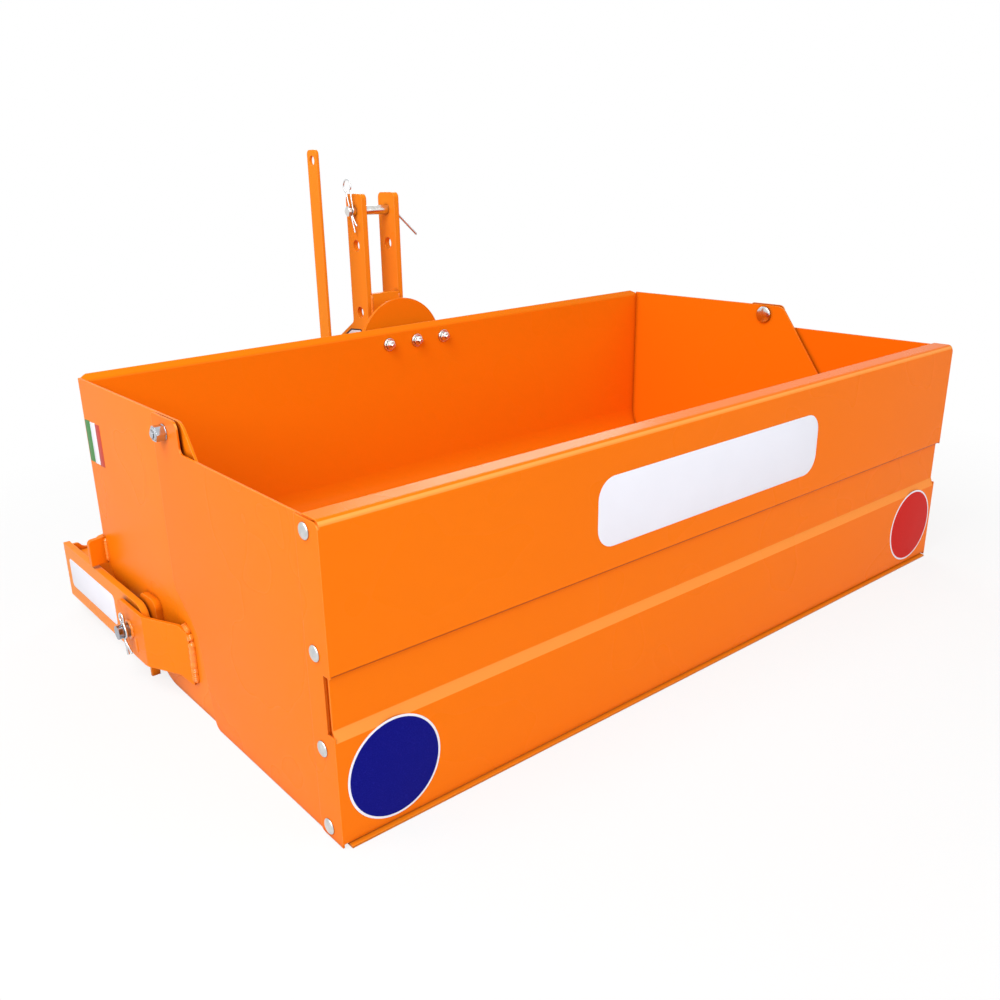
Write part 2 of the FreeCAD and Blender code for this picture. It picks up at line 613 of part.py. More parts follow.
def mast():
    """Upright of the link tower: stands on the beam and wraps round the cross plate."""
    foot = BEAM_BOTTOM + BEAM_SIZE
    front = MAST_REAR + MAST_WIDTH
    corners = [
        (MAST_REAR, foot), (BEAM_FRONT, foot), (BEAM_FRONT, ARM_TOP), (ARM_FRONT, ARM_TOP),
        (ARM_FRONT, BEAM_BOTTOM), (ARM_FRONT + MAST_TOE, BEAM_BOTTOM, MAST_ROUND),
        (MAST_FOOT_FRONT, MAST_FOOT_HEIGHT, MAST_FOOT_ROUND),
        (MAST_FOOT_FRONT, MAST_SHOULDER - MAST_SHOULDER_DROP, MAST_FOOT_ROUND),
        (front, MAST_SHOULDER, MAST_ROUND),
        (front, MAST_TOP, MAST_ROUND), (MAST_REAR, MAST_TOP, MAST_ROUND),
    ]
    plate = plate_x(corners, MAST_IN, MAST_OUT)
    low, high = MAST_IN - OVERRUN, MAST_OUT + OVERRUN
    for place, z in enumerate(MAST_HOLES):
        diameter = TOP_PIN_DIAMETER if place == 0 else MAST_HOLE_DIAMETER
        plate = plate.cut(rod_x(diameter / 2, low, high, MAST_CENTRE_Y, z))
    return plate.cut(rod_x(SHAFT_DIAMETER / 2 + RUNNING_CLEARANCE, low, high, SHAFT_Y, SHAFT_Z))


def mast_block():
    """Block that ties the uprights together in front of the catch plate."""
    return box(-MAST_IN, MAST_IN, MAST_REAR - BLOCK_REACH, MAST_REAR + BLOCK_OVERLAP,
               BLOCK_BOTTOM, BLOCK_BOTTOM + BLOCK_HEIGHT)


def top_link_pin():
    return rod_x(TOP_PIN_DIAMETER / 2, -MAST_OUT - TOP_PIN_LEFT, MAST_OUT + TOP_PIN_RIGHT,
                 MAST_CENTRE_Y, MAST_HOLES[0])


def hitch_ears():
    """Inner and outer ear that take a lower link's ball between them."""
    ears = []
    for sign in (-1, 1):
        inner = HITCH_WIDTH / 2 + sign * EAR_GAP / 2
        low, high = sorted((inner, inner + sign * EAR_THICKNESS))
        foot = ARM_BOTTOM + EAR_FOOT
        corners = [
            (ARM_FRONT, foot), (ARM_FRONT + EAR_TOE, foot, EAR_TOE_ROUND),
            (HITCH_Y + EAR_REACH, HITCH_Z - EAR_REACH, EAR_ROUND),
            (HITCH_Y + EAR_REACH, HITCH_Z + EAR_REACH, EAR_ROUND),
            (HITCH_Y - EAR_REACH, HITCH_Z + EAR_REACH, EAR_ROUND), (ARM_FRONT, ARM_TOP),
        ]
        ear = plate_x(corners, low, high)
        hole = rod_x(HITCH_HOLE_DIAMETER / 2, low - OVERRUN, high + OVERRUN, HITCH_Y, HITCH_Z)
        ears.append(ear.cut(hole))
    return ears


# ---------------------------------------------------------------- the latch
def latch_shaft():
    return rod_x(SHAFT_DIAMETER / 2, LEVER_X - LEVER_THICKNESS / 2, MAST_OUT + SHAFT_PROUD, SHAFT_Y, SHAFT_Z)


def lever():
    low = LEVER_X - LEVER_THICKNESS / 2
    high = low + LEVER_THICKNESS
    half = LEVER_WIDTH / 2
    tail = SHAFT_Z - LEVER_TAIL
    corners = [(SHAFT_Y - half, tail, LEVER_TAIL_ROUND), (SHAFT_Y + half, tail, LEVER_TAIL_ROUND),
               (SHAFT_Y + half, LEVER_TOP, LEVER_ROUND), (SHAFT_Y - half, LEVER_TOP, LEVER_ROUND)]
    bar = plate_x(corners, low, high)
    bar = bar.cut(rod_x(LEVER_HOLE / 2, low - OVERRUN, high + OVERRUN, SHAFT_Y, LEVER_TOP - LEVER_HOLE_DROP))
    return bar.cut(rod_x(SHAFT_DIAMETER / 2, low - OVERRUN, high + OVERRUN, SHAFT_Y, SHAFT_Z))


def hook():
    """Hook on the shaft, drawn closed over the striker and then lifted off it."""
    low, high = -HOOK_THICKNESS / 2, HOOK_THICKNESS / 2
    seat = STRIKER_DIAMETER / 2 + HOOK_SEAT_CLEARANCE
    boss = SHAFT_DIAMETER / 2 + HOOK_BOSS
    tip = STRIKER_Z - HOOK_TIP_DROP
    mouth = STRIKER_Y - seat
    corners = [
        (SHAFT_Y + boss, SHAFT_Z - boss, boss - OVERRUN), (SHAFT_Y + boss, SHAFT_Z + boss, boss - OVERRUN),
        (mouth - HOOK_CLAW, STRIKER_Z + HOOK_BACK, HOOK_BACK_ROUND),
        (mouth - HOOK_CLAW, tip + HOOK_TIP_BEVEL),
        (mouth, tip), (SHAFT_Y - boss - HOOK_BELLY, STRIKER_Z - HOOK_BELLY_DROP), (SHAFT_Y - boss, SHAFT_Z - boss),
    ]
    plate = plate_x(corners, low, high)
    low_cut, high_cut = low - OVERRUN, high + OVERRUN
    slot = plate_x([(mouth, STRIKER_Z - boss - seat), (STRIKER_Y + seat, STRIKER_Z - boss - seat),
                    (STRIKER_Y + seat, STRIKER_Z + seat, HOOK_SEAT_ROUND),
                    (mouth, STRIKER_Z + seat, HOOK_SEAT_ROUND)], low_cut, high_cut)
    plate = plate.cut(slot)
    plate = plate.cut(rod_x(SHAFT_DIAMETER / 2, low_cut, high_cut, SHAFT_Y, SHAFT_Z))
    plate.rotate(V(0, SHAFT_Y, SHAFT_Z), X_AXIS, -HOOK_LIFT)
    return plate


# ---------------------------------------------------------------- assembly
def pair(name, shape):
    """The right-hand piece and its mirror image."""
    keep(name + "_right", shape)
    keep(name + "_left", mirrored(shape))


keep("tub_sheet", tub())
keep("floor_blade", blade())
pair("side_plate", side_plate())
pair("rest_lug", lug())
pair("cheek", cheek())
pair("pivot_boss", pivot_boss())
pair("tip_pin", tip_pin())
keep("catch_plate", catch_plate())
keep("striker", striker())

keep("rear_panel", rear_panel())
pair("wing", wing())
pair("hinge_bolt", hinge_bolt())

pair("arm", arm())
pair("arm_foot", arm_foot())
keep("cross_plate", cross_plate())
keep("cross_beam", cross_beam())
pair("mast", mast())
keep("mast_block", mast_block())
keep("top_link_pin", top_link_pin())
for place, ear_shape in zip(("inner", "outer"), hitch_ears()):
    pair("hitch_ear_" + place, ear_shape)

keep("latch_shaft", latch_shaft())
keep("latch_lever", lever())
keep("latch_hook", hook())

os.makedirs("parts", exist_ok=True)
for node, solid in NODES.items():
    solid.exportStep("parts/" + node + ".step")
    print(node, len(solid.Solids), round(solid.Volume / 1000.0, 1), "cm3", "valid" if solid.isValid() else "INVALID")
print(len(NODES), "nodes, mass of solid steel",
      round(sum(s.Volume for s in NODES.values()) * 7.85e-6, 1), "kg")
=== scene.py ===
"""Looks of the tractor transport box: orange paint, zinc fasteners, signs and a plain studio.

Lengths are metres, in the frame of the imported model: X to the right, Y forward to the
tractor, Z up, with the ground at zero. Places come from the boxes of the model's nodes.
"""
import json
import math

import bmesh
import bpy
from mathutils import Matrix, Vector

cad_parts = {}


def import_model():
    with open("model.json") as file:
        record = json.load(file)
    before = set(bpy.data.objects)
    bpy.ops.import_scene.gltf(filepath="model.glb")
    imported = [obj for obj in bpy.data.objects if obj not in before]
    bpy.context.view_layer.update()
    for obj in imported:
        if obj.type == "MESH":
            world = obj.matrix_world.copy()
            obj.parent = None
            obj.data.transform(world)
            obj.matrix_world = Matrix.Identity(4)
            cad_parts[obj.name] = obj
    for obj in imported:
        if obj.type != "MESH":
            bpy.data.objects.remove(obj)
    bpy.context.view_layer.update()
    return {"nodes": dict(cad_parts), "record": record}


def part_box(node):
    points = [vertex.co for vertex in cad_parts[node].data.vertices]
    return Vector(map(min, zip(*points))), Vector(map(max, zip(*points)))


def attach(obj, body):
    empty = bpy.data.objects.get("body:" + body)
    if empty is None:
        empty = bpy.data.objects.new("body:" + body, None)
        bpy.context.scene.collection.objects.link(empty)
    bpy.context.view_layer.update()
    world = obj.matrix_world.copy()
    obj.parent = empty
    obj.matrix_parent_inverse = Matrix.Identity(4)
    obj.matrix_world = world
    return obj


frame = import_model()

MM = 0.001
SKIN = 0.4 * MM              # how far a sticker lies off its sheet
LEFT, RIGHT = -1, 1

# ------------------------------------------------------------------ places from the model
SIDE_NAMES = {LEFT: "left", RIGHT: "right"}


def low(node):
    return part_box(node)[0]


def high(node):
    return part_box(node)[1]


def middle(node):
    return (low(node) + high(node)) / 2


GATE_FACE = low("rear_panel").y
HALF_WIDTH = high("rear_panel").x
WING_OUT = high("wing_right").x
SIDE_OUT = high("side_plate_right").x
FRONT_WALL = high("side_plate_right").y
ARM_IN = low("arm_right").x
ARM_OUT = high("arm_right").x
MAST_IN = low("mast_right").x
MAST_OUT = high("mast_right").x
SHEET = 3 * MM               # front wall


# ------------------------------------------------------------------ mesh helpers
def frame_along(start, direction):
    """A matrix whose Z runs along the direction, placed at the start."""
    return Matrix.Translation(start) @ Vector(direction).to_track_quat("Z", "Y").to_matrix().to_4x4()


def rings(bm, loops, cap_start=True, cap_end=True, closed=False):
    """Joins loops of points, each with as many points, into a skin."""
    rows = [[bm.verts.new(point) for point in loop] for loop in loops]
    pairs = list(zip(rows, rows[1:])) + ([(rows[-1], rows[0])] if closed else [])
    for one, two in pairs:
        for i in range(len(one)):
            j = (i + 1) % len(one)
            bm.faces.new((one[i], one[j], two[j], two[i]))
    if closed:
        return
    if cap_start:
        bm.faces.new(rows[0][::-1])
    if cap_end:
        bm.faces.new(rows[-1])


def spin(bm, profile, place, steps=32):
    """Turns (radius, height) points about the Z of the place."""
    loops = []
    for radius, height in profile:
        turns = [2 * math.pi * i / steps for i in range(steps)]
        loops.append([place @ Vector((radius * math.cos(t), radius * math.sin(t), height)) for t in turns])
    rings(bm, loops)


def hexagon(bm, flats, height, place, crown_share=0.47, per_side=4):
    """A hexagon nut or head with chamfered corners at its free end."""
    count = 6 * per_side
    inner = flats * crown_share
    foot, crown, top = [], [], []
    for i in range(count):
        turn = 2 * math.pi * i / count
        off = (turn % (math.pi / 3)) - math.pi / 6
        reach = flats / 2 / math.cos(off)
        drop = (reach - inner) * 0.6
        direction = Vector((math.cos(turn), math.sin(turn), 0))
        foot.append(place @ (direction * reach))
        crown.append(place @ (direction * reach + Vector((0, 0, height - drop))))
        top.append(place @ (direction * inner + Vector((0, 0, height))))
    rings(bm, [foot, crown, top])


def tube(bm, points, radius, sides=10, closed=False):
    """A round bar along points; the radius may be a function of the share of the way."""
    points = [Vector(p) for p in points]
    count = len(points)
    loops = []
    side = None
    for i, point in enumerate(points):
        before = points[i - 1] if i > 0 or closed else point
        after = points[(i + 1) % count] if i < count - 1 or closed else point
        tangent = (after - before).normalized()
        if side is None:
            helper = Vector((0, 0, 1)) if abs(tangent.z) < 0.9 else Vector((1, 0, 0))
            side = tangent.cross(helper).normalized()
        side = (side - tangent * side.dot(tangent)).normalized()
        other = tangent.cross(side)
        size = radius(i / (count - 1)) if callable(radius) else radius
        turns = [2 * math.pi * k / sides for k in range(sides)]
        loops.append([point + (side * math.cos(t) + other * math.sin(t)) * size for t in turns])
    rings(bm, loops, closed=closed)


def arc(centre, one, two, radius, start, stop, steps):
    """Points of an arc in the plane of two unit directions, angles in degrees."""
    points = []
    for i in range(steps + 1):
        turn = math.radians(start + (stop - start) * i / steps)
        points.append(Vector(centre) + (Vector(one) * math.cos(turn) + Vector(two) * math.sin(turn)) * radius)
    return points


def piece(name, bm, body, material, sharp=35):
    """Makes the object, shades it smooth but for its sharp edges, and lets it ride."""
    bmesh.ops.recalc_face_normals(bm, faces=bm.faces)
    for face in bm.faces:
        face.smooth = True
    for edge in bm.edges:
        edge.smooth = len(edge.link_faces) == 2 and edge.calc_face_angle(0) < math.radians(sharp)
    mesh = bpy.data.meshes.new(name)
    bm.to_mesh(mesh)
    bm.free()
    thing = bpy.data.objects.new(name, mesh)
    bpy.context.scene.collection.objects.link(thing)
    mesh.materials.append(material)
    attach(thing, body)
    return thing


# ------------------------------------------------------------------ materials
def shader(name):
    """A new material with its node tree and its Principled shader."""
    material = bpy.data.materials.new(name)
    material.use_nodes = True
    tree = material.node_tree
    return material, tree, tree.nodes["Principled BSDF"]


def noise(tree, scale, detail=3.0, roughness=0.5, stretch=(1, 1, 1)):
    """Noise in the object's own space, stretched."""
    coordinates = tree.nodes.new("ShaderNodeTexCoord")
    mapping = tree.nodes.new("ShaderNodeMapping")
    mapping.inputs["Scale"].default_value = stretch
    texture = tree.nodes.new("ShaderNodeTexNoise")
    texture.inputs["Scale"].default_value = scale
    texture.inputs["Detail"].default_value = detail
    texture.inputs["Roughness"].default_value = roughness
    tree.links.new(coordinates.outputs["Object"], mapping.inputs["Vector"])
    tree.links.new(mapping.outputs["Vector"], texture.inputs["Vector"])
    return texture.outputs["Fac"]


def ramp(tree, value, stops):
    """A colour ramp with (position, colour) stops; greys may be one number."""
    node = tree.nodes.new("ShaderNodeValToRGB")
    elements = node.color_ramp.elements
    while len(elements) < len(stops):
        elements.new(0.5)
    for element, (position, colour) in zip(elements, stops):
        element.position = position
        grey = (colour, colour, colour, 1) if isinstance(colour, (int, float)) else (*colour, 1)
        element.color = grey
    tree.links.new(value, node.inputs["Fac"])
    return node.outputs["Color"]


def mixed(tree, factor, one, two):
    """Mixes two colours; each may be a socket or a colour."""
    node = tree.nodes.new("ShaderNodeMix")
    node.data_type = "RGBA"
    inputs = [s for s in node.inputs if s.type == "RGBA"]
    for socket, value in zip(inputs, (one, two)):
        if isinstance(value, (tuple, list)):
            socket.default_value = (*value, 1)
        else:
            tree.links.new(value, socket)
    tree.links.new(factor, node.inputs["Factor"])
    return [s for s in node.outputs if s.type == "RGBA"][0]


def bump(tree, height, strength, distance, normal=None):
    """A bumped normal, on top of another one if it is given."""
    node = tree.nodes.new("ShaderNodeBump")
    node.inputs["Strength"].default_value = strength
    node.inputs["Distance"].default_value = distance
    tree.links.new(height, node.inputs["Height"])
    if normal:
        tree.links.new(normal, node.inputs["Normal"])
    return node.outputs["Normal"]


def rounded_edges(tree, radius):
    """A normal that turns softly over sharp edges."""
    node = tree.nodes.new("ShaderNodeBevel")
    node.samples = 6
    node.inputs["Radius"].default_value = radius
    return node.outputs["Normal"]


def edge_mask(tree, rounded, gain):
    """How far the rounded normal turns from the true one, as a factor."""
    geometry = tree.nodes.new("ShaderNodeNewGeometry")
    dot = tree.nodes.new("ShaderNodeVectorMath")
    dot.operation = "DOT_PRODUCT"
    tree.links.new(geometry.outputs["Normal"], dot.inputs[0])
    tree.links.new(rounded, dot.inputs[1])
    away = tree.nodes.new("ShaderNodeMath")
    away.operation = "MULTIPLY_ADD"
    away.use_clamp = True
    away.inputs[1].default_value = -gain
    away.inputs[2].default_value = gain
    tree.links.new(dot.outputs["Value"], away.inputs[0])
    return away.outputs["Value"]


def openness(tree, distance, stops):
    """How open the surface is to its surroundings, from 0 in a crevice to 1."""
    node = tree.nodes.new("ShaderNodeAmbientOcclusion")
    node.samples = 4
    node.inputs["Distance"].default_value = distance
    return ramp(tree, node.outputs["AO"], stops)


def facing(tree, direction, start, full):
    """Where the object's own normal turns to a direction, as on a bend or a bevel."""
    coordinates = tree.nodes.new("ShaderNodeTexCoord")
    dot = tree.nodes.new("ShaderNodeVectorMath")
    dot.operation = "DOT_PRODUCT"
    dot.inputs[1].default_value = direction
    tree.links.new(coordinates.outputs["Normal"], dot.inputs[0])
    share = tree.nodes.new("ShaderNodeMapRange")
    share.interpolation_type = "SMOOTHSTEP"
    share.inputs["From Min"].default_value = start
    share.inputs["From Max"].default_value = full
    tree.links.new(dot.outputs["Value"], share.inputs["Value"])
    return share.outputs["Result"]


# Paint: how much red, green and blue the painted shade leaves in a hollow and in a crease; the normals of the
# bevel under the tailgate's swage and of the fold along its top, which get a painted highlight, and of the bends
# that face the ground, which get painted shade; and how far from a point other faces count for a hollow and for a
# crease.
HOLLOW_SHADE_SHARES = (0.50, 0.40, 0.33)
CREASE_SHADE_SHARES = (0.46, 0.32, 0.25)
SWAGE_NORMAL = (0, -0.922, 0.387)
FOLD_NORMAL = (0, -0.78, 0.63)
UNDERSIDE_NORMAL = (0, -0.82, -0.57)
HOLLOW_REACH = 0.06
CREASE_REACH = 11 * MM


def paint(name, colour, highlight_colour, edge_radius=2.0 * MM, painted_fold_highlights=False):
    """Glossy powder coat: slight mottle and fine orange peel, with painted highlights on edges and painted shade in
    hollows and creases; on the tailgate also painted highlights on the swage's bevel and top fold, and painted
    shade on bends facing the ground.
    """
    material, tree, bsdf = shader(name)
    shade = tuple(c * 0.96 for c in colour)
    bevel_highlight_colour = tuple((c + 2 * e) / 3 for c, e in zip(colour, highlight_colour))
    shadow_colour = tuple(c * share for c, share in zip(colour, HOLLOW_SHADE_SHARES))
    crease_shade_colour = tuple(c * share for c, share in zip(colour, CREASE_SHADE_SHARES))
    mottle = mixed(tree, noise(tree, 2.5, 2), shade, colour)
    rounded = rounded_edges(tree, edge_radius)
    surface = mottle
    # painted highlights on the swage's bevel and the top fold, painted shade on bends that face the ground
    if painted_fold_highlights:
        bevel = mixed(tree, facing(tree, SWAGE_NORMAL, 0.975, 0.999), mottle, bevel_highlight_colour)
        folded = mixed(tree, facing(tree, FOLD_NORMAL, 0.965, 0.998), bevel, highlight_colour)
        surface = mixed(tree, facing(tree, UNDERSIDE_NORMAL, 0.88, 0.98), folded, shadow_colour)
    # painted highlight: the edges take the paler highlight colour
    edge_highlighted = mixed(tree, edge_mask(tree, rounded, 4.0), surface, highlight_colour)
    # painted shade: the coat turns darker in hollows and darker still in creases
    hollow_shaded = mixed(tree, openness(tree, HOLLOW_REACH, [(0.05, 0.0), (0.55, 1.0)]), shadow_colour, edge_highlighted)
    crease_shaded = mixed(tree, openness(tree, CREASE_REACH, [(0.30, 0.0), (0.92, 1.0)]), crease_shade_colour, hollow_shaded)
    tree.links.new(crease_shaded, bsdf.inputs["Base Color"])
    tree.links.new(ramp(tree, noise(tree, 6, 1), [(0.0, 0.24), (1.0, 0.32)]), bsdf.inputs["Roughness"])
    peel = bump(tree, noise(tree, 420, 2), 0.06, 0.3 * MM, rounded)
    tree.links.new(peel, bsdf.inputs["Normal"])
    bsdf.inputs["IOR"].default_value = 1.25
    bsdf.inputs["Specular IOR Level"].default_value = 0.15
    return material


def bead_paint(name, colour):
    """The same coat over a weld: thin and shiny on its crests, in a paler colour that is a painted highlight."""
    material, tree, bsdf = shader(name)
    darker = tuple(c * share for c, share in zip(colour, (0.88, 0.75, 0.6)))
    tree.links.new(mixed(tree, noise(tree, 120, 2), darker, colour), bsdf.inputs["Base Color"])
    tree.links.new(bump(tree, noise(tree, 260, 2), 0.15, 0.3 * MM), bsdf.inputs["Normal"])
    bsdf.inputs["Roughness"].default_value = 0.16
    bsdf.inputs["Specular IOR Level"].default_value = 0.5
    return material


def zinc(name, colour, rough, stretch=(1, 1, 1), tint=(0.74, 0.74, 0.72)):
    """Zinc-plated or bright steel: cloudy, with fine scratches and painted shade in crevices."""
    material, tree, bsdf = shader(name)
    cloud = mixed(tree, ramp(tree, noise(tree, 90, 4), [(0.4, 0.0), (0.7, 1.0)]), colour, tint)
    # painted shade: near black where other faces lie within 4 mm
    shaded = mixed(tree, openness(tree, 4 * MM, [(0.2, 0.0), (0.75, 1.0)]), (0.06, 0.06, 0.065), cloud)
    tree.links.new(shaded, bsdf.inputs["Base Color"])
    bsdf.inputs["Metallic"].default_value = 1.0
    scratched = noise(tree, 700, 3, stretch=stretch)
    tree.links.new(ramp(tree, scratched, [(0.2, rough * 0.7), (0.8, rough * 1.3)]), bsdf.inputs["Roughness"])
    tree.links.new(bump(tree, scratched, 0.06, 0.05 * MM, rounded_edges(tree, 0.6 * MM)), bsdf.inputs["Normal"])
    return material


def vinyl(name, colour, cells=False):
    """Printed film: faint grain, or the small cells of reflective film."""
    material, tree, bsdf = shader(name)
    if cells:
        texture = tree.nodes.new("ShaderNodeTexVoronoi")
        texture.feature = "DISTANCE_TO_EDGE"
        texture.inputs["Scale"].default_value = 260
        coordinates = tree.nodes.new("ShaderNodeTexCoord")
        tree.links.new(coordinates.outputs["Object"], texture.inputs["Vector"])
        pattern = ramp(tree, texture.outputs["Distance"], [(0.0, 1.0), (0.08, 0.0)])
        paler = tuple(min(1.0, c * 1.2 + 0.004) for c in colour)
        tree.links.new(mixed(tree, pattern, colour, paler), bsdf.inputs["Base Color"])
        height = texture.outputs["Distance"]
    else:
        height = noise(tree, 260, 2)
        darker = tuple(c * 0.95 for c in colour)
        tree.links.new(mixed(tree, noise(tree, 9, 2), darker, colour), bsdf.inputs["Base Color"])
    tree.links.new(bump(tree, height, 0.05, 0.1 * MM), bsdf.inputs["Normal"])
    bsdf.inputs["Roughness"].default_value = 0.35
    bsdf.inputs["IOR"].default_value = 1.25
    bsdf.inputs["Specular IOR Level"].default_value = 0.1
    return material


def nylon(name, colour):
    """Plain moulded nylon with a fine grain."""
    material, tree, bsdf = shader(name)
    darker = tuple(c * 0.9 for c in colour)
    tree.links.new(mixed(tree, noise(tree, 300, 2), darker, colour), bsdf.inputs["Base Color"])
    tree.links.new(bump(tree, noise(tree, 500, 2), 0.1, 0.1 * MM), bsdf.inputs["Normal"])
    bsdf.inputs["Roughness"].default_value = 0.45
    return material


# the paler orange of the painted highlights on edges and folds
ORANGE_HIGHLIGHT = (1.0, 0.37, 0.075)
box_paint = paint("box_paint", (0.95, 0.22, 0.004), ORANGE_HIGHLIGHT)
# the tailgate paint also gets the painted highlights and shade on its folds
gate_paint = paint("gate_paint", (0.97, 0.195, 0.003), ORANGE_HIGHLIGHT, painted_fold_highlights=True)
frame_paint = paint("frame_paint", (0.95, 0.27, 0.011), ORANGE_HIGHLIGHT, 2.4 * MM)
# painted highlight: the beads are given a paler orange than the box paint
weld_paint = bead_paint("weld_paint", (1.0, 0.30, 0.03))
zinc_steel = zinc("zinc_steel", (0.62, 0.64, 0.67), 0.17)
rivet_zinc = zinc("rivet_zinc", (0.58, 0.60, 0.61), 0.36)
wall_zinc = zinc("wall_zinc", (0.80, 0.80, 0.79), 0.22, tint=(0.88, 0.88, 0.86))
pin_zinc = zinc("pin_zinc", (0.26, 0.29, 0.34), 0.12, tint=(0.34, 0.36, 0.40))
nut_zinc = zinc("nut_zinc", (0.48, 0.51, 0.56), 0.12, tint=(0.60, 0.62, 0.66))
bright_steel = zinc("bright_steel", (0.74, 0.73, 0.71), 0.2, (8, 1, 1), (0.60, 0.59, 0.56))
white_film = vinyl("white_film", (0.88, 0.89, 0.97))
blue_film = vinyl("blue_film", (0.004, 0.005, 0.20), True)
red_film = vinyl("red_film", (0.60, 0.014, 0.010), True)
green_film = vinyl("green_film", (0.09, 0.28, 0.09))
crimson_film = vinyl("crimson_film", (0.60, 0.08, 0.06))
dark_film = vinyl("dark_film", (0.03, 0.03, 0.035))
nylon_white = nylon("nylon_white", (0.55, 0.56, 0.58))

PAINTS = {"box_orange": box_paint, "gate_orange": gate_paint, "frame_orange": frame_paint, "zinc_steel": zinc_steel}
for part in frame["record"]["subparts"]:
    node = frame["nodes"][part["node"]]
    node.data.materials.clear()
    node.data.materials.append(PAINTS[part["material_slot"]])
frame["nodes"]["top_link_pin"].data.materials[0] = bright_steel
for side_name in SIDE_NAMES.values():
    frame["nodes"]["tip_pin_" + side_name].data.materials[0] = pin_zinc
    frame["nodes"]["hinge_bolt_" + side_name].data.materials[0] = nut_zinc


# ------------------------------------------------------------------ fasteners
def washer(bm, outer, inner, thickness, place):
    """A flat washer with rounded outer edges."""
    spin(bm, [(inner, 0), (outer * 0.97, 0), (outer, thickness * 0.3), (outer, thickness * 0.8),
              (outer * 0.96, thickness), (inner, thickness)], place)


def thread_end(bm, radius, length, place, pitch=2.0 * MM):
    """The threaded end of a bolt, as rings of thread with a chamfer."""
    turns = max(2, int(length / pitch))
    profile = [(radius * 0.9, 0)]
    for i in range(turns):
        start = length * i / turns
        profile += [(radius * 0.9, start + 0.1 * pitch), (radius, start + 0.4 * pitch),
                    (radius, start + 0.6 * pitch), (radius * 0.9, start + 0.9 * pitch)]
    profile += [(radius * 0.82, length), (radius * 0.2, length)]
    spin(bm, profile, place, 24)


def dome_head(bm, radius, height, place, rim=0.8 * MM):
    """A round rivet or carriage-bolt head."""
    profile = [(radius * 0.98, 0), (radius, rim)]
    for i in range(1, 8):
        turn = math.radians(90 * i / 8)
        profile.append((radius * math.cos(turn), rim + (height - rim) * math.sin(turn)))
    profile.append((radius * 0.02, height))
    spin(bm, profile, place)


RIVET_HEIGHTS = (0.526, 0.331, 0.166, 0.0225)
RIVET_INSET = 0.038          # forward of the tailgate's face
WALL_BOLTS_X = (-0.078, 0.012, 0.102)
WALL_BOLTS_Z = 0.564


def gate_rivets(side):
    """Four round heads that hold the wing to the tailgate's end flange."""
    bm = bmesh.new()
    for height in RIVET_HEIGHTS:
        place = frame_along((side * HALF_WIDTH, GATE_FACE + RIVET_INSET, height), (side, 0, 0))
        dome_head(bm, 13.5 * MM, 5 * MM, place)
    return piece("gate_rivets_" + SIDE_NAMES[side], bm, "tailgate", rivet_zinc)


def hinge_fittings(side):
    """Washer, nylon collar and bolt end outside; domed head over the bolt's head inside."""
    name = SIDE_NAMES[side]
    bolt_low, bolt_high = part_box("hinge_bolt_" + name)
    centre = (bolt_low + bolt_high) / 2
    outside = max(abs(bolt_low.x), abs(bolt_high.x))
    inside = min(abs(bolt_low.x), abs(bolt_high.x))
    out = frame_along((side * WING_OUT, centre.y, centre.z), (side, 0, 0))
    end = frame_along((side * outside, centre.y, centre.z), (side, 0, 0))
    bm = bmesh.new()
    washer(bm, 15.2 * MM, 9 * MM, 1.5 * MM, out)
    thread_end(bm, 7.2 * MM, 5 * MM, end)
    piece("hinge_washer_" + name, bm, "tailgate", nut_zinc)
    bm = bmesh.new()
    spin(bm, [(12.9 * MM, -0.5 * MM), (12.5 * MM, 1.4 * MM), (10.8 * MM, 2.4 * MM), (9.6 * MM, 2.4 * MM),
              (9.4 * MM, 0.4 * MM)], end)
    piece("hinge_nut_collar_" + name, bm, "tailgate", nut_zinc)
    bm = bmesh.new()
    spin(bm, [(9.5 * MM, 0), (9.5 * MM, 1.6 * MM), (8.9 * MM, 2.0 * MM), (7.9 * MM, 2.0 * MM),
              (7.8 * MM, 0.4 * MM)], end)
    piece("hinge_nut_ring_" + name, bm, "tailgate", nylon_white)
    bm = bmesh.new()
    dome_head(bm, 22 * MM, 5 * MM, frame_along((side * inside, centre.y, centre.z), (-side, 0, 0)))
    piece("hinge_head_" + name, bm, "tailgate", zinc_steel)


def wall_bolts():
    """Three bolts through the front wall that carry the catch plate."""
    catch_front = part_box("catch_plate")[1].y
    inner_face = FRONT_WALL - SHEET
    bm = bmesh.new()
    z = WALL_BOLTS_Z
    for x in WALL_BOLTS_X:
        back = frame_along((x, inner_face, z), (0, -1, 0))
        washer(bm, 17 * MM, 7 * MM, 2.5 * MM, back)
        spin(bm, [(10 * MM, 0), (10 * MM, 1.5 * MM)], frame_along((x, inner_face - 2.5 * MM, z), (0, -1, 0)))
        hexagon(bm, 21 * MM, 9 * MM, frame_along((x, inner_face - 4 * MM, z), (0, -1, 0)), 0.49)
        collar = frame_along((x, inner_face - 13 * MM, z), (0, -1, 0))
        spin(bm, [(9.2 * MM, 0), (9.0 * MM, 2.2 * MM), (8.2 * MM, 3 * MM), (6.4 * MM, 3 * MM),
                  (6.4 * MM, 1 * MM)], collar)
        thread_end(bm, 5.8 * MM, 9 * MM, collar)
        hexagon(bm, 24 * MM, 10 * MM, frame_along((x, catch_front, z), (0, 1, 0)))
    return piece("wall_bolts", bm, "bucket", wall_zinc)


for side in (LEFT, RIGHT):
    gate_rivets(side)
    hinge_fittings(side)
wall_bolts()


